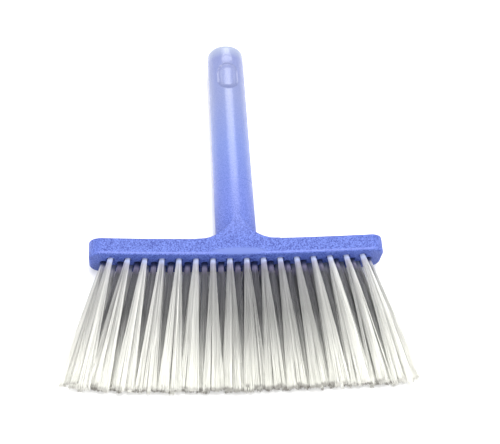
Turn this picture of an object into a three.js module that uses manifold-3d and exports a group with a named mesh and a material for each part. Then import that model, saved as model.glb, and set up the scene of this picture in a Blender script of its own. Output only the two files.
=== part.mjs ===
// Hand brush with a bowed block, a round handle and three rows of fanned bristle tufts.
// Millimetres, +Z up. The brush lies on its flat underside, with the bristles towards -Y and the handle towards +Y.
import * as THREE from 'three';
import { mergeVertices } from 'three/addons/utils/BufferGeometryUtils.js';
import Module from 'manifold-3d';

// Driving dimensions
const HANDLE_LENGTH = 140; // from the rear face of the block to the end of the handle
const BRISTLE_LENGTH = 75; // free length, from the front face of the block
const BLOCK_LENGTH = 172;
const BLOCK_DEPTH = 10.5;
const THICKNESS = 24.4;
const BLOCK_CORNER = 7.5; // radius of the block's four long corners
const BOW = 2; // how far the block's ends stand back from its middle
const HANDLE_ROOT_D = 24.2;
const HANDLE_END_D = 22.9;
const HANDLE_END_ROUND = 3.5;
const WEB_RADIUS = 24; // concave sides of the web, also its half width where it leaves the block
const WEB_NOSE = 2.5; // half width of the web where it fades out on the handle
const RECESS = { width: 12.4, length: 19, depth: 1.1, fromEnd: 15 };

// Bristle setting. The rows fan out, and their pitches differ a little. The soft tufts droop until their tips lie on
// the table, one row on the other, so tipZ is lower than rootZ.
const ROWS = [
  { name: 'top', count: 16, pitch: 9.82, rootZ: 17, tipZ: 5.2, tipWidth: 11.6 },
  { name: 'middle', count: 17, pitch: 9.7, rootZ: 12.2, tipZ: 3.1, tipWidth: 9.6 },
  { name: 'bottom', count: 16, pitch: 9.6, rootZ: 7.4, tipZ: 1, tipWidth: 11.2 },
];
const FAN_DEPTH = 317; // how far behind the front face the lines of the tufts meet
const HOLE_D = 4.2;
const HOLE_DEPTH = 7;
const TUFT_ROOT_D = 3.6;
const TUFT_TIP_HEIGHT = 1.8;
const TUFT_SIDES = 12;
const GAP = 0.3; // between a tuft and the hole it sits in

const FRONT_Y = -BLOCK_DEPTH;
const MID_Z = THICKNESS / 2;
const OVERALL_LENGTH = HANDLE_LENGTH + BLOCK_DEPTH + BRISTLE_LENGTH;
const MID_Y = HANDLE_LENGTH - OVERALL_LENGTH / 2;

const wasm = await Module();
wasm.setup();

// A closed three.js geometry as a solid.
function solid(geometry, matrix = new THREE.Matrix4()) {
  const bare = geometry.clone().applyMatrix4(matrix);
  bare.deleteAttribute('normal');
  bare.deleteAttribute('uv');
  const merged = mergeVertices(bare, 1e-4);
  return new wasm.Manifold(new wasm.Mesh({
    numProp: 3,
    vertProperties: new Float32Array(merged.attributes.position.array),
    triVerts: new Uint32Array(merged.index.array),
  }));
}

// A solid as a three.js geometry.
function geometryOf(manifold) {
  const mesh = manifold.getMesh();
  const geometry = new THREE.BufferGeometry();
  geometry.setAttribute('position', new THREE.BufferAttribute(mesh.vertProperties, 3));
  geometry.setIndex(new THREE.BufferAttribute(mesh.triVerts, 1));
  geometry.computeVertexNormals();
  return geometry;
}

// How far the block stands back from its middle at x.
function bowAt(x) {
  return BOW * (2 * x / BLOCK_LENGTH) ** 2;
}

function extrudeUp(shape, height, curveSegments) {
  return new THREE.ExtrudeGeometry(shape, { depth: height, bevelEnabled: false, curveSegments });
}

// The block seen from above: two parallel parabolic arcs with square ends.
function blockPlan() {
  const half = BLOCK_LENGTH / 2;
  const shape = new THREE.Shape();
  shape.moveTo(-half, FRONT_Y + BOW);
  shape.quadraticCurveTo(0, FRONT_Y - BOW, half, FRONT_Y + BOW);
  shape.lineTo(half, BOW);
  shape.quadraticCurveTo(0, -BOW, -half, BOW);
  shape.closePath();
  return shape;
}

// The block seen from the bristle side: a rectangle with large round corners.
function blockSection() {
  const half = BLOCK_LENGTH / 2;
  const side = half - BLOCK_CORNER;
  const top = THICKNESS - BLOCK_CORNER;
  const shape = new THREE.Shape();
  shape.absarc(side, BLOCK_CORNER, BLOCK_CORNER, -Math.PI / 2, 0, false);
  shape.absarc(side, top, BLOCK_CORNER, 0, Math.PI / 2, false);
  shape.absarc(-side, top, BLOCK_CORNER, Math.PI / 2, Math.PI, false);
  shape.absarc(-side, BLOCK_CORNER, BLOCK_CORNER, Math.PI, 1.5 * Math.PI, false);
  shape.closePath();
  return shape;
}

function block() {
  const plan = solid(extrudeUp(blockPlan(), THICKNESS, 28));
  const reach = BLOCK_DEPTH + 2 * BOW;
  const turn = new THREE.Matrix4().makeRotationX(Math.PI / 2).setPosition(0, 1.5 * BOW, 0);
  const section = solid(extrudeUp(blockSection(), reach, 8), turn);
  return plan.intersect(section);
}

// The web: flat, as thick as the block, with concave sides that run from the block on to the crest of the handle.
function web() {
  const noseAngle = Math.acos(1 - WEB_NOSE / WEB_RADIUS);
  const inside = FRONT_Y / 2;
  const shape = new THREE.Shape();
  shape.moveTo(-WEB_RADIUS, inside);
  shape.lineTo(WEB_RADIUS, inside);
  shape.absarc(WEB_RADIUS, WEB_RADIUS, WEB_RADIUS, -Math.PI / 2, -Math.PI + noseAngle, true);
  shape.absarc(-WEB_RADIUS, WEB_RADIUS, WEB_RADIUS, -noseAngle, -Math.PI / 2, true);
  shape.closePath();
  return solid(extrudeUp(shape, THICKNESS, 14));
}

// Radius of the handle at y.
function handleRadius(y) {
  return (HANDLE_ROOT_D + (HANDLE_END_D - HANDLE_ROOT_D) * y / HANDLE_LENGTH) / 2;
}

// A turned handle whose far end is rounded, made smaller all round by inset.
function handle(inset = 0) {
  const start = FRONT_Y / 2;
  const edge = handleRadius(HANDLE_LENGTH) - HANDLE_END_ROUND;
  const outline = new THREE.Path();
  outline.moveTo(0, start);
  outline.lineTo(handleRadius(start) - inset, start);
  outline.lineTo(edge + HANDLE_END_ROUND - inset, HANDLE_LENGTH - HANDLE_END_ROUND);
  outline.absarc(edge, HANDLE_LENGTH - HANDLE_END_ROUND, HANDLE_END_ROUND - inset, 0, Math.PI / 2, false);
  outline.lineTo(0, HANDLE_LENGTH - inset);
  const lathe = new THREE.LatheGeometry(outline.getPoints(6), 48);
  return solid(lathe, new THREE.Matrix4().makeTranslation(0, 0, MID_Z));
}

// The shallow oval recess on the upper side of the handle, with a floor that follows the handle's curve.
function recess() {
  const r = RECESS.width / 2;
  const far = HANDLE_LENGTH - RECESS.fromEnd - r;
  const near = HANDLE_LENGTH - RECESS.fromEnd - RECESS.length + r;
  const oval = new THREE.Shape();
  oval.absarc(0, far, r, 0, Math.PI, false);
  oval.absarc(0, near, r, Math.PI, 2 * Math.PI, false);
  oval.closePath();
  const column = solid(extrudeUp(oval, THICKNESS, 10), new THREE.Matrix4().makeTranslation(0, 0, MID_Z));
  return column.subtract(handle(RECESS.depth));
}

// Every tuft of the brush: its name, where it leaves the front face, the direction it runs in and the width of its tip.
function tuftPlaces() {
  return ROWS.flatMap((row) => Array.from({ length: row.count }, (_, i) => {
    const x = (i - (row.count - 1) / 2) * row.pitch;
    const root = new THREE.Vector3(x, FRONT_Y + bowAt(x), row.rootZ);
    const direction = new THREE.Vector3(x / FAN_DEPTH, -1, (row.tipZ - row.rootZ) / BRISTLE_LENGTH).normalize();
    const name = `tuft_${row.name}_${String(i + 1).padStart(2, '0')}`;
    return { name, root, direction, tipWidth: row.tipWidth };
  }));
}

// Turns a shape made along -Y, with its root at the origin, to run from a tuft's root along its direction.
function alongTuft(place) {
  const turn = new THREE.Quaternion().setFromUnitVectors(new THREE.Vector3(0, -1, 0), place.direction);
  return new THREE.Matrix4().compose(place.root, turn, new THREE.Vector3(1, 1, 1));
}

// The blind hole that holds a tuft, open past the front face.
function hole(place) {
  const length = HOLE_DEPTH + 3;
  const drill = new THREE.CylinderGeometry(HOLE_D / 2, HOLE_D / 2, length, TUFT_SIDES);
  drill.translate(0, HOLE_DEPTH - length / 2, 0);
  return solid(drill, alongTuft(place));
}

function brushBody() {
  const moulding = block().add(web()).add(handle()).subtract(recess());
  return tuftPlaces().reduce((body, place) => body.subtract(hole(place)), moulding);
}

// A tuft: one straight flare from the bottom of its hole to an oval brush tip.
function tuftShape(tipWidth) {
  const inside = HOLE_DEPTH - GAP;
  const shape = new THREE.CylinderGeometry(1, 1, 1, TUFT_SIDES, 1);
  const places = shape.attributes.position;
  for (let i = 0; i < places.count; i += 1) {
    const y = places.getY(i) < 0 ? -BRISTLE_LENGTH : inside;
    const wide = TUFT_ROOT_D - (tipWidth - TUFT_ROOT_D) * y / BRISTLE_LENGTH;
    const high = TUFT_ROOT_D - (TUFT_TIP_HEIGHT - TUFT_ROOT_D) * y / BRISTLE_LENGTH;
    places.setXYZ(i, places.getX(i) * wide / 2, y, places.getZ(i) * high / 2);
  }
  return geometryOf(solid(shape));
}

function named(name, geometry, material) {
  const mesh = new THREE.Mesh(geometry, material);
  mesh.name = name;
  return mesh;
}

const brush = new THREE.Group();
brush.position.y = -MID_Y;

const blue = new THREE.MeshStandardMaterial({ color: 0x6a80e6, roughness: 0.35, metalness: 0 });
brush.add(named('brush_body', geometryOf(brushBody()), blue));

for (const place of tuftPlaces()) {
  const silver = new THREE.MeshStandardMaterial({ color: 0xd4d6cf, roughness: 0.45, metalness: 0 });
  const tuft = named(place.name, tuftShape(place.tipWidth), silver);
  tuft.applyMatrix4(alongTuft(place));
  brush.add(tuft);
}

export default brush;
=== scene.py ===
import math

import bpy
import numpy as np
from mathutils import Matrix, Vector


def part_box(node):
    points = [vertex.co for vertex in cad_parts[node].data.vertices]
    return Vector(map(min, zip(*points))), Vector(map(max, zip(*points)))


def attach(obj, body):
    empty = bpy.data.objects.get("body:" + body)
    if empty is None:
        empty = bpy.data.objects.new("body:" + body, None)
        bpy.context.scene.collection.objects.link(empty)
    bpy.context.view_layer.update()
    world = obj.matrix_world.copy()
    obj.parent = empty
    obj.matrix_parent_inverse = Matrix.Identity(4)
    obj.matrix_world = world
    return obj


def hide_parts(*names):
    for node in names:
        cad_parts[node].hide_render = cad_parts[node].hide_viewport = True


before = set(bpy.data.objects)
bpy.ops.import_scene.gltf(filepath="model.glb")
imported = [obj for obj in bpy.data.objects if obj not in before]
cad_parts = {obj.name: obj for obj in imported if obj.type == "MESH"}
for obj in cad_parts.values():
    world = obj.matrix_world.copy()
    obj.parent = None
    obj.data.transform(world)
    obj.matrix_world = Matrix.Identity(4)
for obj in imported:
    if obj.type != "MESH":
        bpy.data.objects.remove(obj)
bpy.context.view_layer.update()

# Lengths are in millimetres, in the frame's own axes, unless a comment says otherwise. They become metres where
# Blender takes them.
MM = 0.001
SEED = 7

# The moulding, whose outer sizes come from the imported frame
BODY_LOW, BODY_HIGH = (np.array(corner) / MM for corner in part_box("brush_body"))
HANDLE_LENGTH = 140.0
HANDLE_END_Y = BODY_HIGH[1]
REAR_Y = HANDLE_END_Y - HANDLE_LENGTH  # the block's rear face, at its middle
BLOCK_LENGTH = BODY_HIGH[0] - BODY_LOW[0]
BLOCK_DEPTH = REAR_Y - BODY_LOW[1]
THICKNESS = BODY_HIGH[2] - BODY_LOW[2]
MID_Z = THICKNESS / 2
BLOCK_CORNER = 7.5
BLOCK_EDGE = 1.1
BOW = 2.0
WEB_RADIUS = 24.0
WEB_REACH = 15.0
WEB_EDGE = 0.9
WEB_FILLET = 2.0  # between the web and the handle
BLOCK_FILLET = 1.0  # between the block and what stands behind it
HANDLE_ROOT_R = 12.1
HANDLE_END_R = 11.45
HANDLE_END_ROUND = 3.5
RECESS_HALF_WIDTH = 6.2
RECESS_LENGTH = 19.0
RECESS_DEPTH = 1.1
RECESS_FROM_END = 15.0
RECESS_EDGE = 0.5
RIM_STEP = 0.45  # share of a recess's depth that is at its rim
RIM_SLOPE = 2.8  # how far in from the rim the floor starts
FLOOR_EDGE = 0.25  # between a recess's wall and its floor
PALE_PATCH_HALF_LENGTH = 18.0  # of the paler, smooth patch on top of the block, near its front edge
PALE_PATCH_HALF_WIDTH = 2.6
PALE_PATCH_FROM_REAR = 8.3
MARK_RADIUS = 3.1
MARK_DEPTH = 0.3
MARK_EDGE = 0.25
MARK_FROM_END = 11.6  # of its middle
GRID_STEP = 0.58  # keeps the mesh under the 200,000 faces at which the export thins a piece

# How strongly the moulding's painted edge highlight, paler patch and painted shade are coloured, from 0 to 1,
# and how wide their lines are
# painted highlight: a pale line along the block's front top edge
EDGE_HIGHLIGHT = 0.6
EDGE_HIGHLIGHT_PEAK = 1.3  # over 1, so that the middle of the line is flat
EDGE_HIGHLIGHT_WIDTH = 0.6
PATCH_SHARPNESS = 3.0  # of the paler patch's outline
# painted shade darkening the oval recess's rim and walls and the ring round the small round mark
RIM_SHADE = 0.42
RIM_SHADE_INSET = 0.2
RIM_SHADE_WIDTH = 0.9
WALL_SHADE = 0.14
NEAR_WALL_SHADE = 0.26  # more painted shade, added to the recess's wall on the block's side
NEAR_WALL_REACH = 9.0
MARK_SHADE = 0.15
MARK_SHADE_WIDTH = 0.7

# The tufts
BRISTLE_LENGTH = 75.0
HOLE_RADIUS = 2.1
HOLE_DEPTH = 7.0
HOLE_EDGE = 0.5
BUNDLE_RADIUS = 1.4
TIP_FLARE = 1.06  # of the loose tips, over the CAD tufts' own
STRAND_RADIUS = 0.11
STRAND_SIDES = 4
STRAND_PAIRS = 104
LEG_STOPS = 9  # points along each leg of a strand, from the mouth of its hole to its tip
FOLD_STOPS = 5
CLUMPS = 9  # locks that the strands of a tuft gather into
CLUMPING = 0.55  # how far the strands of a lock are drawn together
LOCK_STRAY = (0.13, 0.06)  # how far the locks part, across and up, as shares of the tip's size
DROOP = 1.5  # power of the distance along a tuft that its drop grows with
SWAY = (0.8, 0.1)  # how far whole tufts lean, across and up
TIP_SPREAD = 0.05  # of the strands' distance from their tuft's middle, as a share
TIP_STRAY = (0.3, 0.25)  # of single strands, across and up
STRAND_BEND = 0.4  # twice how far a strand strays at its middle from a straight line
STRAND_WAVE = 0.10
WAVE_TURN = 9.0  # radians of wave along a strand
RIGHT_END_GROWTH = 2.4  # extra length that a tuft at the block's right end would have
GROWTH_POWER = 3
END_SPLAY = 4.5  # how far a tuft at either end of the block would turn outward at its tips
SPLAY_POWER = 7
TRIM_SPREAD = 0.3  # how unevenly single strands are cut
TRIM_LIMITS = (-2.0, 0.8)
LOCK_TRIM = 0.8  # and whole locks
ROW_TRIM = {"top": 0.0, "middle": 0.8, "bottom": 1.5}  # how much shorter the lower rows are cut
LOWEST_STRAND = 0.2  # height that no strand goes below

# How bright the strands are painted, from 0 to 1. Painted shade darkens the lower rows and the tufts near the
# middle, painted light brightens the outermost tufts and one side of each tuft, and the rest is random tone per
# lock and strand.
ROW_SHADING = {"top": (0.27, 1.0), "middle": (0.0, 0.15), "bottom": (0.05, 0.75)}  # darkest and brightest
ROOT_LIGHTING = {"top": 1.0, "middle": 0.0, "bottom": 0.3}  # how far the first millimetres are painted as a pale blue glow (1) rather than as dark shade (0)
END_TUFTS_FROM = 75.0  # the outermost tufts, painted as lit as the top row
MIDDLE_SHADE = 0.75  # painted shade on the tufts near the middle
MIDDLE_X = 11.0
MIDDLE_REACH = 33.0
LOCK_SHARE = 0.45  # of a strand's tone that comes from its lock, from itself, and from its side of the tuft; the side's share is painted light, one side of each tuft lighter
STRAND_SHARE = 0.3
SIDE_LIGHT_SHARE = 0.25
TONE_CONTRAST = 1.6
TONE_OFFSET = 0.3

# The anchors
ANCHOR_LENGTH = 4.1
ANCHOR_WIDTH = 1.8
ANCHOR_THICKNESS = 0.4
ANCHOR_DEPTH = 5.2  # of its middle, below the mouth of the hole
ANCHOR_SAG = 0.12


# ---------------------------------------------------------------- camera, floor and light

def place_camera():
    """Looks down over the bristles towards the handle, turned a little about its own axis."""
    target = Vector((8.9, -10.6, 12.2)) * MM
    heading, pitch, roll = (math.radians(a) for a in (13.33, 61.73, 11.08))
    distance = 614.9 * MM
    forward = Vector((
        math.sin(heading) * math.cos(pitch),
        math.cos(heading) * math.cos(pitch),
        -math.sin(pitch),
    ))
    level = Vector((math.cos(heading), -math.sin(heading), 0))
    rise = level.cross(forward)
    right = math.cos(roll) * level + math.sin(roll) * rise
    top = math.cos(roll) * rise - math.sin(roll) * level
    data = bpy.data.cameras.new("camera")
    data.lens = 74.1
    data.sensor_width = 36
    data.clip_start, data.clip_end = 0.01, 20
    camera = bpy.data.objects.new("camera", data)
    bpy.context.scene.collection.objects.link(camera)
    turn = Matrix((right, top, -forward)).transposed().to_4x4()
    camera.matrix_world = Matrix.Translation(target - forward * distance) @ turn
    bpy.context.scene.camera = camera


def new_material(name):
    """An empty node material, with its nodes, links and Principled node."""
    material = bpy.data.materials.new(name)
    material.use_nodes = True
    tree = material.node_tree
    return material, tree, tree.nodes["Principled BSDF"]


def make_floor():
    half = 6.0  # metres
    corners = [(-half, -half, 0), (half, -half, 0), (half, half, 0), (-half, half, 0)]
    mesh = bpy.data.meshes.new("floor")
    mesh.from_pydata(corners, [], [(0, 1, 2, 3)])
    floor = bpy.data.objects.new("floor", mesh)
    bpy.context.scene.collection.objects.link(floor)
    material, _, shader = new_material("pale_floor")
    shader.inputs["Base Color"].default_value = (0.92, 0.92, 0.92, 1)
    shader.inputs["Roughness"].default_value = 0.55
    mesh.materials.append(material)


def soft_box(name, direction, distance, size, power):
    """A rectangular white light that shines on the brush from a direction. Metres and watts."""
    data = bpy.data.lights.new(name, "AREA")
    data.shape = "RECTANGLE"
    data.size, data.size_y = size
    data.energy = power
    lamp = bpy.data.objects.new(name, data)
    bpy.context.scene.collection.objects.link(lamp)
    towards = Vector(direction).normalized()
    lamp.location = towards * distance + Vector((0, 0, MID_Z * MM))
    lamp.rotation_euler = towards.to_track_quat("Z", "Y").to_euler()


def light_scene():
    world = bpy.data.worlds.new("studio")
    bpy.context.scene.world = world
    world.use_nodes = True
    background = world.node_tree.nodes["Background"]
    background.inputs["Color"].default_value = (1, 1, 1, 1)
    background.inputs["Strength"].default_value = 1.0
    soft_box("overhead", (0.05, 0.06, 0.99), 0.95, (0.22, 0.22), 3.6)
    soft_box("window_behind", (0.06, 0.62, 0.78), 1.0, (0.62, 0.34), 5.0)
    soft_box("front_fill", (0.05, -0.92, 0.38), 1.2, (0.6, 0.4), 6.0)
    soft_box("left_side", (-0.92, 0.05, 0.40), 1.0, (0.4, 0.4), 3.4)
    soft_box("right_side", (0.92, 0.05, 0.40), 1.0, (0.4, 0.4), 2.8)
    bpy.context.scene.view_settings.view_transform = "Standard"


# ---------------------------------------------------------------- meshes

def unit(vectors):
    return vectors / np.linalg.norm(vectors, axis=-1, keepdims=True)


def new_piece(name, points, faces, material):
    """A piece on the root body. faces is a list of index arrays, and only the first is smooth."""
    mesh = bpy.data.meshes.new(name)
    mesh.vertices.add(len(points))
    mesh.vertices.foreach_set("co", (points * MM).astype(np.float32).ravel())
    sizes = np.concatenate([np.full(len(f), f.shape[1], np.int32) for f in faces])
    mesh.loops.add(int(sizes.sum()))
    mesh.loops.foreach_set("vertex_index", np.concatenate([f.ravel() for f in faces]).astype(np.int32))
    mesh.polygons.add(len(sizes))
    starts = np.concatenate(([0], np.cumsum(sizes)[:-1])).astype(np.int32)
    mesh.polygons.foreach_set("loop_start", starts)
    mesh.polygons.foreach_set("use_smooth", np.arange(len(sizes)) < len(faces[0]))
    mesh.update(calc_edges=True)
    mesh.materials.append(material)
    piece = bpy.data.objects.new(name, mesh)
    bpy.context.scene.collection.objects.link(piece)
    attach(piece, "root")
    return piece


def surface_net(distance, low, high, step):
    """Points and quads of the surface where distance is zero, about one quad for each step of a grid."""
    axes = [np.arange(a - 2.5 * step, b + 3.5 * step, step) for a, b in zip(low, high)]
    value = distance(*np.meshgrid(*axes, indexing="ij", sparse=True))
    cells = np.array(value.shape) - 1
    crossings, owners, quads = [], [], []
    for axis in range(3):
        a, b = (axis + 1) % 3, (axis + 2) % 3
        first = np.moveaxis(np.moveaxis(value, axis, 0)[:-1], 0, axis)
        second = np.moveaxis(np.moveaxis(value, axis, 0)[1:], 0, axis)
        start = np.argwhere((first < 0) != (second < 0))
        v0, v1 = first[tuple(start.T)], second[tuple(start.T)]
        point = start.astype(float)
        point[:, axis] += v0 / (v0 - v1)
        around = []
        for da, db in ((0, 0), (1, 0), (1, 1), (0, 1)):
            cell = start.copy()
            cell[:, a] -= da
            cell[:, b] -= db
            around.append(np.ravel_multi_index(cell.T, cells))
            crossings.append(point)
            owners.append(around[-1])
        quad = np.stack(around, 1)
        quad[v0 > 0] = quad[v0 > 0][:, ::-1]
        quads.append(quad)
    used, slots = np.unique(np.concatenate(owners), return_inverse=True)
    crossings = np.concatenate(crossings)
    share = np.bincount(slots)
    points = np.stack([np.bincount(slots, crossings[:, i]) / share for i in range(3)], 1)
    points = points * step + np.array([axis[0] for axis in axes])
    return settle(points, distance, step), np.searchsorted(used, np.concatenate(quads))


def settle(points, distance, step):
    """Moves each point on to the zero surface along the distance's slope, by a share of a step at a time."""
    reach, least_slope, longest_move = 0.02, 0.25, 0.3 * step
    for _ in range(3):
        here = distance(*points.T)
        slope = np.stack([
            distance(*(points + reach * offset).T) - distance(*(points - reach * offset).T)
            for offset in np.eye(3)
        ], 1) / (2 * reach)
        move = here[:, None] * slope / np.maximum((slope ** 2).sum(1, keepdims=True), least_slope)
        points = points - np.clip(move, -longest_move, longest_move)
    return points


# ---------------------------------------------------------------- the moulding, as a distance to its surface

def rounded_overlap(a, b, edge):
    """Distance to what two shapes share, given the distance to each, with its edge rounded."""
    a, b = a + edge, b + edge
    return np.minimum(np.maximum(a, b), 0) + np.hypot(np.maximum(a, 0), np.maximum(b, 0)) - edge


def blended(a, b, reach):
    """Distance to two shapes joined with a fillet."""
    mix = np.clip(0.5 + 0.5 * (b - a) / reach, 0, 1)
    return b + (a - b) * mix - reach * mix * (1 - mix)


def cut_out(body, tool, reach):
    """Distance to a shape with another cut from it, and a small radius along the cut's edge."""
    return -blended(-body, tool, reach)


def bow_at(x):
    """How much further back the block stands at x than at its middle."""
    return BOW * (2 * x / BLOCK_LENGTH) ** 2


def block_distance(x, y, z):
    beside = np.abs(x) - (BLOCK_LENGTH / 2 - BLOCK_CORNER)
    above = np.abs(z - MID_Z) - (MID_Z - BLOCK_CORNER)
    outside = np.hypot(np.maximum(beside, 0), np.maximum(above, 0))
    outline = outside + np.minimum(np.maximum(beside, above), 0)
    along = np.abs(y - bow_at(x) + BLOCK_DEPTH / 2) - BLOCK_DEPTH / 2
    return rounded_overlap(outline - BLOCK_CORNER, along, BLOCK_EDGE)


def web_distance(x, y, z):
    side = WEB_RADIUS - np.hypot(np.abs(x) - WEB_RADIUS, y - WEB_RADIUS)
    ends = np.maximum(y - WEB_REACH, -BLOCK_DEPTH / 2 - y)
    plan = np.maximum(np.maximum(side, ends), np.abs(x) - WEB_RADIUS)
    return rounded_overlap(plan, np.abs(z - MID_Z) - MID_Z, WEB_EDGE)


def handle_radius(y):
    return HANDLE_ROOT_R + (HANDLE_END_R - HANDLE_ROOT_R) * y / HANDLE_LENGTH


def handle_distance(x, y, z):
    side = np.hypot(x, z - MID_Z) - handle_radius(y)
    turned = rounded_overlap(side, y - HANDLE_LENGTH, HANDLE_END_ROUND)
    return np.maximum(turned, -BLOCK_DEPTH / 2 - y)


def oval_outline(x, y, from_end, half_width, length):
    """Distance in plan to an oval's outline on the handle."""
    middle = HANDLE_LENGTH - from_end - length / 2
    straight = np.maximum(np.abs(y - middle) - (length / 2 - half_width), 0)
    return np.hypot(x, straight) - half_width


def sunk_oval(x, y, z, from_end, half_width, length, depth):
    """Distance to a shallow oval in the top of the handle, whose floor follows the handle's curve."""
    outline = oval_outline(x, y, from_end, half_width, length)
    sunk = depth * (RIM_STEP + (1 - RIM_STEP) * np.clip(-outline / RIM_SLOPE, 0, 1))
    floor = handle_radius(y) - sunk - np.hypot(x, z - MID_Z)
    return np.maximum(rounded_overlap(outline, floor, FLOOR_EDGE), MID_Z - z)


def holes_distance(x, y, z, mouths):
    """Distance to the nearest tuft hole, for points near the front face."""
    nearest = np.full(np.broadcast(x, y, z).shape, 1e3)
    for mouth, along in mouths:
        dx, dy, dz = x - mouth[0], y - mouth[1], z - mouth[2]
        out = dx * along[0] + dy * along[1] + dz * along[2]
        away = np.sqrt(np.maximum(dx * dx + dy * dy + dz * dz - out * out, 0))
        nearest = np.minimum(nearest, np.maximum(away - HOLE_RADIUS, -HOLE_DEPTH - out))
    return nearest


def body_distance(mouths):
    """The whole moulding's distance function, in the frame's axes."""
    local_mouths = [(mouth - np.array([0, REAR_Y, 0]), along) for mouth, along in mouths]

    def distance(x, y, z):
        y = y - REAR_Y
        slab = np.abs(z - MID_Z) - MID_Z
        grip = blended(handle_distance(x, y, z), web_distance(x, y, z), WEB_FILLET)
        body = np.maximum(blended(grip, block_distance(x, y, z), BLOCK_FILLET), slab)
        recess = sunk_oval(x, y, z, RECESS_FROM_END, RECESS_HALF_WIDTH, RECESS_LENGTH, RECESS_DEPTH)
        mark = sunk_oval(x, y, z, MARK_FROM_END - MARK_RADIUS, MARK_RADIUS, 2 * MARK_RADIUS, MARK_DEPTH)
        body = cut_out(cut_out(body, recess, RECESS_EDGE), mark, MARK_EDGE)
        near = y < BOW + 1
        if body.shape == y.shape:
            holes = holes_distance(x[near], y[near], z[near], local_mouths)
            body[near] = cut_out(body[near], holes, HOLE_EDGE)
        else:
            rows = near.ravel()
            holes = holes_distance(x, y[:, rows], z, local_mouths)
            body[:, rows] = cut_out(body[:, rows], holes, HOLE_EDGE)
        return body

    return distance


def make_body(tufts, material):
    mouths = [(tuft["mouth"], tuft["along"]) for tuft in tufts]
    step = GRID_STEP
    points, quads = surface_net(body_distance(mouths), BODY_LOW, BODY_HIGH, step)
    body = new_piece("moulded_body", points, [quads], material)
    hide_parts("brush_body")
    x, y, z = points.T
    y = y - REAR_Y
    # a paler patch without speckle on top of the block, near its front edge
    patch = np.hypot(x / PALE_PATCH_HALF_LENGTH, (y + PALE_PATCH_FROM_REAR) / PALE_PATCH_HALF_WIDTH)
    patch = np.clip(PATCH_SHARPNESS - PATCH_SHARPNESS * patch, 0, 1) * (z > THICKNESS - 1)
    add_attribute(body, "pale_patch", patch)

    # painted highlight: a pale line along the block's front top edge, left off the paler patch
    front_edge = np.hypot(y - bow_at(x) + BLOCK_DEPTH - BLOCK_EDGE, z - THICKNESS)
    add_attribute(body, "edge_highlight", EDGE_HIGHLIGHT * np.clip(EDGE_HIGHLIGHT_PEAK - front_edge / EDGE_HIGHLIGHT_WIDTH, 0, 1) * (1 - patch))

    # painted shade: darker along the recess's rim and on its walls, most on the wall on the block's side, and
    # round the small mark
    outline = oval_outline(x, y, RECESS_FROM_END, RECESS_HALF_WIDTH, RECESS_LENGTH)
    rim = np.clip(1 - np.abs(outline + RIM_SHADE_INSET) / RIM_SHADE_WIDTH, 0, 1)
    wall = np.clip(-2 * outline, 0, 1) * np.clip(2 * (outline + RIM_SLOPE) + 1, 0, 1)
    near_block = np.clip((HANDLE_LENGTH - RECESS_FROM_END - RECESS_LENGTH / 2 - y) / NEAR_WALL_REACH, 0, 1)
    wall = (WALL_SHADE + NEAR_WALL_SHADE * near_block) * wall
    ring = oval_outline(x, y, MARK_FROM_END - MARK_RADIUS, MARK_RADIUS, 2 * MARK_RADIUS)
    ring = np.clip(1 - np.abs(ring) / MARK_SHADE_WIDTH, 0, 1)
    recess_shade = np.maximum(np.maximum(RIM_SHADE * rim, wall), MARK_SHADE * ring)
    add_attribute(body, "recess_shade", recess_shade * (z > MID_Z))


# ---------------------------------------------------------------- tufts and their anchors

def read_tuft(node):
    """Where a CAD tuft's middle leaves the block, and its level directions, sizes, reach and drop."""
    corners = np.array([v.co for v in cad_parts[node].data.vertices]) / MM
    corners = np.unique(corners.round(3), axis=0)
    inner = corners[:, 1] > corners[:, 1].mean()
    bottom, tip = corners[inner].mean(0), corners[~inner].mean(0)
    mouth = tip - BRISTLE_LENGTH * unit(tip - bottom)
    level = (tip - mouth) * [1, 1, 0]
    along = unit(level)
    across = np.cross([0, 0, 1], along)
    rim = corners[~inner] - tip
    return {
        "node": node,
        "row": node.split("_")[1],
        "mouth": mouth,
        "along": along,
        "across": across,
        "up": np.array([0.0, 0, 1]),
        "tip_size": np.array([np.abs(rim @ across).max(), np.abs(rim[:, 2]).max()]) * TIP_FLARE,
        "reach": np.linalg.norm(level),
        "growth": RIGHT_END_GROWTH * max(mouth[0] / BODY_HIGH[0], 0) ** GROWTH_POWER,
        "drop": mouth[2] - tip[2],
    }


def bundle_spots(count):
    """Evenly packed spots in a unit circle's upper half, as across and up."""
    order = np.arange(2 * count) + 0.5
    angle = order * math.pi * (3 - math.sqrt(5))
    reach = np.sqrt(order / (2 * count))
    across, up = reach * np.cos(angle), np.abs(reach * np.sin(angle))
    return np.stack([across, up], 1)[np.argsort(np.sin(angle), kind="stable")[-count:]]


def gathered(spots, rng):
    """Spots drawn together into locks, and which lock each is in."""
    centres = rng.uniform(-1, 1, (4 * CLUMPS, 2))
    centres = centres[(centres ** 2).sum(1) < 0.9][:CLUMPS]
    away = ((spots[:, None] * [1, 0.4] - centres * [1, 0.4]) ** 2).sum(2)
    lock = away.argmin(1)
    pull = CLUMPING * rng.uniform(0.5, 1, (len(spots), 1))
    stray = rng.normal(0, LOCK_STRAY, (CLUMPS, 2))
    return spots + pull * (centres[lock] - spots) + stray[lock], lock


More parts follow.
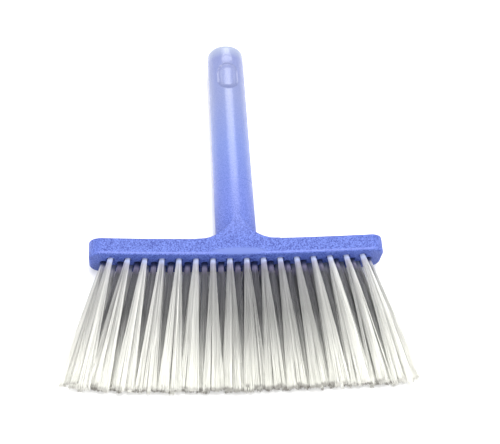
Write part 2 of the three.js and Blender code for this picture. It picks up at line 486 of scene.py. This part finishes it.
def leg_paths(tuft, spots, rng):
    """Paths of one leg of each strand, from just above its fold to its trimmed tip, and its lock."""
    count = len(spots)
    root = spots * BUNDLE_RADIUS
    drawn, lock = gathered(spots, rng)
    tip = drawn * tuft["tip_size"] * rng.normal(1, TIP_SPREAD, (count, 1))
    tip = tip + rng.normal(0, TIP_STRAY, (count, 2)) + tuft["sway"]
    grown = tuft["growth"] - ROW_TRIM[tuft["row"]] + rng.normal(0, LOCK_TRIM, CLUMPS)[lock]
    free = tuft["reach"] + grown + np.clip(rng.normal(0, TRIM_SPREAD, count), *TRIM_LIMITS)
    bend = rng.normal(0, STRAND_BEND, (count, 2))
    wave = rng.normal(0, STRAND_WAVE, (count, 2))
    phase = rng.uniform(0, 2 * math.pi, count)
    stops = np.concatenate(([-ANCHOR_DEPTH / tuft["reach"], 0], np.linspace(0, 1, LEG_STOPS)[1:]))
    share = np.clip(stops, 0, 1)[None, :, None]
    offset = root[:, None] + (tip - root)[:, None] * share
    offset = offset + bend[:, None] * (share * (1 - share) * 4 * 0.5)
    offset = offset + wave[:, None] * np.sin(phase[:, None] + share[..., 0] * WAVE_TURN)[..., None] * share
    reach = np.where(stops < 0, stops * tuft["reach"], stops * free[:, None])
    path = (
        tuft["mouth"]
        + reach[..., None] * tuft["along"]
        + offset[..., :1] * tuft["across"]
        + (offset[..., 1:] - tuft["drop"] * share ** DROOP) * tuft["up"]
    )
    path[..., 2] = np.maximum(path[..., 2], LOWEST_STRAND)
    return path, lock


def folded_paths(tuft, rng):
    """Paths of strands that run down one side of the anchor, under it and up the other side.

    Also which lock each strand is in, and how far across the tuft it is, from -1 to 1.
    """
    spots = bundle_spots(STRAND_PAIRS)
    clear = (ANCHOR_THICKNESS / 2 + STRAND_RADIUS) / BUNDLE_RADIUS
    spots[:, 1] = np.maximum(spots[:, 1], clear)
    first, lock = leg_paths(tuft, spots, rng)
    second, _ = leg_paths(tuft, spots * [1, -1], rng)
    turn = np.linspace(0, math.pi, FOLD_STOPS)[1:-1]
    middle = (first[:, :1] + second[:, :1]) / 2
    half = (first[:, :1] - second[:, :1]) / 2
    sink = ANCHOR_WIDTH / 2 + 2 * STRAND_RADIUS
    fold = middle + half * np.cos(turn)[None, :, None] - sink * np.sin(turn)[None, :, None] * tuft["along"]
    return np.concatenate([first[:, ::-1], fold, second], 1), lock, spots[:, 0]


def tubes(paths, guide, radius, sides):
    """Points and faces of closed round tubes along equal-length paths. guide is square to the fold."""
    tangent = unit(np.gradient(paths, axis=1))
    normal = unit(np.cross(guide, tangent))
    other = np.cross(tangent, normal)
    angle = np.arange(sides) * 2 * math.pi / sides
    ring = np.cos(angle)[:, None] * normal[:, :, None] + np.sin(angle)[:, None] * other[:, :, None]
    points = paths[:, :, None] + radius * ring
    count, stops = paths.shape[:2]
    base = (np.arange(count) * stops * sides)[:, None, None] + (np.arange(stops - 1) * sides)[:, None]
    here = np.arange(sides)
    beside = (here + 1) % sides
    quads = np.stack([base + here, base + beside, base + beside + sides, base + here + sides], -1)
    starts = (np.arange(count) * stops * sides)[:, None]
    caps = np.concatenate([starts + here[::-1], starts + (stops - 1) * sides + here])
    return points.reshape(-1, 3), [quads.reshape(-1, 4), caps]


def add_attribute(piece, name, values):
    """A number on each point, which the piece's material reads."""
    layer = piece.data.attributes.new(name, "FLOAT", "POINT")
    layer.data.foreach_set("value", values.astype(np.float32).ravel())


def make_tuft(tuft, material, rng):
    paths, lock, side = folded_paths(tuft, rng)
    points, faces = tubes(paths, tuft["across"], STRAND_RADIUS, STRAND_SIDES)
    piece = new_piece("bristles" + tuft["node"][len("tuft"):], points, faces, material)
    count, stops = paths.shape[:2]
    distance = (paths - tuft["mouth"]) @ tuft["along"]
    reach = distance / np.where(np.arange(stops) < stops // 2, distance[:, :1], distance[:, -1:])
    # painted light and shade: random tone per lock and strand, one side of each tuft painted lighter, lower
    # rows and middle tufts painted darker, outermost tufts painted as lit as the top row
    tone_with_light = LOCK_SHARE * rng.uniform(0, 1, CLUMPS)[lock]
    tone_with_light = tone_with_light + STRAND_SHARE * rng.uniform(0, 1, count) + SIDE_LIGHT_SHARE * (0.5 + 0.5 * side)
    darkest, brightest = ROW_SHADING[tuft["row"]]
    if abs(tuft["mouth"][0]) > END_TUFTS_FROM:
        darkest, brightest = ROW_SHADING["top"]
    brightest *= 1 - MIDDLE_SHADE * math.exp(-((tuft["mouth"][0] - MIDDLE_X) / MIDDLE_REACH) ** 4)
    tone_with_light = darkest + (brightest - darkest) * np.clip(TONE_CONTRAST * tone_with_light - TONE_OFFSET, 0, 1)
    add_attribute(piece, "along", np.repeat(reach.ravel(), STRAND_SIDES))
    add_attribute(piece, "strand_tone_and_light", np.repeat(tone_with_light, stops * STRAND_SIDES))
    add_attribute(piece, "root_lighting", np.full(len(points), ROOT_LIGHTING[tuft["row"]]))
    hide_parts(tuft["node"])


def make_anchor(tuft, material):
    """A short flat wire across the hole, with rounded edges and narrower ends. The strands fold under it."""
    corner = ANCHOR_THICKNESS / 2
    angle = np.linspace(0, 2 * math.pi, 16, endpoint=False)
    wide = np.sign(np.sin(angle)) * (ANCHOR_WIDTH / 2 - corner) + np.sin(angle) * corner
    thick = np.cos(angle) * corner
    stations = np.array([-1, -0.9, -0.3, 0.3, 0.9, 1]) * ANCHOR_LENGTH / 2
    narrowing = np.array([0.55, 1, 1, 1, 1, 0.55])
    sag = ANCHOR_SAG * (1 - (2 * stations / ANCHOR_LENGTH) ** 2)
    middle = tuft["mouth"] - ANCHOR_DEPTH * tuft["along"]
    points = (
        middle
        + stations[:, None, None] * tuft["across"]
        + (wide * narrowing[:, None] - sag[:, None])[..., None] * tuft["along"]
        + (thick * narrowing[:, None])[..., None] * tuft["up"]
    )
    count = len(angle)
    base = (np.arange(len(stations) - 1) * count)[:, None]
    here = np.arange(count)
    beside = (here + 1) % count
    quads = np.stack([base + here, base + beside, base + beside + count, base + here + count], -1)
    last = (len(stations) - 1) * count
    faces = [quads.reshape(-1, 4), np.stack([here[::-1], last + here])]
    new_piece("anchor" + tuft["node"][len("tuft"):], points.reshape(-1, 3), faces, material)


# ---------------------------------------------------------------- materials

def noise(tree, scale, detail, source):
    node = tree.nodes.new("ShaderNodeTexNoise")
    node.inputs["Scale"].default_value = scale
    node.inputs["Detail"].default_value = detail
    tree.links.new(source, node.inputs["Vector"])
    return node.outputs["Fac"]


def ramp(tree, source, stops):
    node = tree.nodes.new("ShaderNodeValToRGB")
    while len(node.color_ramp.elements) < len(stops):
        node.color_ramp.elements.new(0.5)
    for element, (place, colour) in zip(node.color_ramp.elements, stops):
        element.position = place
        element.color = (*colour, 1)
    tree.links.new(source, node.inputs[0])
    return node.outputs[0]


def point_value(tree, name):
    """A number that add_attribute put on the piece's points."""
    node = tree.nodes.new("ShaderNodeAttribute")
    node.attribute_name = name
    return node.outputs["Fac"]


def object_place(tree):
    node = tree.nodes.new("ShaderNodeTexCoord")
    return node.outputs["Object"]


def mixed(tree, factor, first, second):
    """Colour first where factor is 0 and second where it is 1."""
    node = tree.nodes.new("ShaderNodeMix")
    node.data_type = "RGBA"
    tree.links.new(factor, node.inputs["Factor"])
    for socket, value in ((node.inputs[6], first), (node.inputs[7], second)):
        if isinstance(value, tuple):
            socket.default_value = (*value, 1)
        else:
            tree.links.new(value, socket)
    return node.outputs[2]


def blue_plastic():
    """Moulded polypropylene, mottled on the block and smoother towards the end of the handle. Up the handle its
    colour is painted paler and greyer, standing in for light shining through it and haze, and it is palest at
    the rounded end as a painted highlight.
    """
    material, tree, shader = new_material("blue_plastic")
    place = object_place(tree)
    split = tree.nodes.new("ShaderNodeSeparateXYZ")
    tree.links.new(place, split.inputs[0])
    up_handle = tree.nodes.new("ShaderNodeMapRange")
    tree.links.new(split.outputs["Y"], up_handle.inputs["Value"])
    up_handle.inputs["From Min"].default_value = REAR_Y * MM
    up_handle.inputs["From Max"].default_value = HANDLE_END_Y * MM
    share = up_handle.outputs["Result"]
    # painted light: colours grow paler and greyer up the handle for light shining through it and haze, with a
    # painted highlight at the rounded end
    hollows = ramp(tree, share, [
        (0.00, (0.009, 0.025, 0.205)),
        (0.18, (0.060, 0.095, 0.34)),
        (0.46, (0.105, 0.150, 0.38)),
        (0.72, (0.145, 0.175, 0.34)),
        (0.93, (0.140, 0.165, 0.33)),
        (1.00, (0.290, 0.330, 0.41)),
    ])
    grains = ramp(tree, share, [
        (0.00, (0.100, 0.157, 0.50)),
        (0.18, (0.115, 0.155, 0.45)),
        (0.46, (0.135, 0.180, 0.42)),
        (0.72, (0.170, 0.200, 0.37)),
        (0.93, (0.165, 0.190, 0.36)),
        (1.00, (0.320, 0.360, 0.44)),
    ])
    speckle = ramp(tree, noise(tree, 1500, 1, place), [(0.33, (0, 0, 0)), (0.67, (1, 1, 1))])
    mottled = mixed(tree, speckle, hollows, grains)
    # the paler patch, in one even colour
    patched_and_highlit = mixed(tree, point_value(tree, "pale_patch"), mottled, (0.085, 0.128, 0.385))
    # painted highlight along the block's front top edge
    patched_and_highlit = mixed(tree, point_value(tree, "edge_highlight"), patched_and_highlit, (0.16, 0.21, 0.56))
    # painted shade in the recess and round the small mark
    shaded = mixed(tree, point_value(tree, "recess_shade"), patched_and_highlit, (0.055, 0.065, 0.15))
    tree.links.new(shaded, shader.inputs["Base Color"])
    gloss = ramp(tree, share, [(0, (0.58,) * 3), (0.12, (0.46,) * 3), (0.3, (0.26,) * 3)])
    tree.links.new(gloss, shader.inputs["Roughness"])
    bump = tree.nodes.new("ShaderNodeBump")
    bump.inputs["Strength"].default_value = 0.3
    bump.inputs["Distance"].default_value = 0.0002
    tree.links.new(noise(tree, 1300, 2, place), bump.inputs["Height"])
    tree.links.new(bump.outputs[0], shader.inputs["Normal"])
    return material


def filament():
    """Silvery polyester, with painted shade deep in the brush and on the cut ends, painted light growing
    towards the tips, and a painted glow or shade at the roots by row.
    """
    material, tree, shader = new_material("filament")
    along = point_value(tree, "along")
    # painted light: lit strands, paler towards the tips, with slightly darker cut ends as painted shade
    bright = ramp(tree, along, [
        (0.00, (0.55, 0.57, 0.66)),
        (0.10, (0.60, 0.60, 0.60)),
        (0.25, (0.72, 0.72, 0.69)),
        (0.60, (0.84, 0.84, 0.79)),
        (0.99, (0.92, 0.92, 0.86)),
        (1.00, (0.84, 0.83, 0.77)),
    ])
    # painted shade: shaded strands, darkest deep in the brush, paler towards the tips and dark again at the cut
    # ends
    dark = ramp(tree, along, [
        (0.05, (0.22, 0.20, 0.34)),
        (0.10, (0.07, 0.07, 0.09)),
        (0.42, (0.08, 0.08, 0.085)),
        (0.62, (0.27, 0.27, 0.26)),
        (0.80, (0.55, 0.55, 0.51)),
        (0.975, (0.76, 0.76, 0.70)),
        (0.992, (0.15, 0.14, 0.12)),
    ])
    free = mixed(tree, point_value(tree, "strand_tone_and_light"), dark, bright)
    # painted light and shade at the roots: a pale blue glow on the top row, dark shade on the middle row,
    # mostly dark on the bottom row
    root = mixed(tree, point_value(tree, "root_lighting"), (0.02, 0.03, 0.10), (0.56, 0.62, 0.84))
    near_root = ramp(tree, along, [(0.018, (1, 1, 1)), (0.045, (0, 0, 0))])
    tree.links.new(mixed(tree, near_root, free, root), shader.inputs["Base Color"])
    shader.inputs["Roughness"].default_value = 0.3
    shader.inputs["IOR"].default_value = 1.57
    return material


def anchor_wire():
    """Galvanised flat wire with a fine grain."""
    material, tree, shader = new_material("anchor_wire")
    grain = noise(tree, 2500, 2, object_place(tree))
    metal = ramp(tree, grain, [(0.3, (0.42, 0.42, 0.41)), (0.7, (0.62, 0.62, 0.6))])
    tree.links.new(metal, shader.inputs["Base Color"])
    shader.inputs["Metallic"].default_value = 1
    shader.inputs["Roughness"].default_value = 0.35
    return material


# ---------------------------------------------------------------- the scene

def main():
    place_camera()
    make_floor()
    light_scene()
    tufts = [read_tuft(node) for node in sorted(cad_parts) if node.startswith("tuft_")]
    rng = np.random.default_rng(SEED)
    for tuft in tufts:
        tuft["sway"] = rng.normal(0, SWAY)
        tuft["sway"][0] += END_SPLAY * (tuft["mouth"][0] / BODY_HIGH[0]) ** SPLAY_POWER
    make_body(tufts, blue_plastic())
    strand_material, wire_material = filament(), anchor_wire()
    for tuft in tufts:
        make_tuft(tuft, strand_material, rng)
        make_anchor(tuft, wire_material)


main()
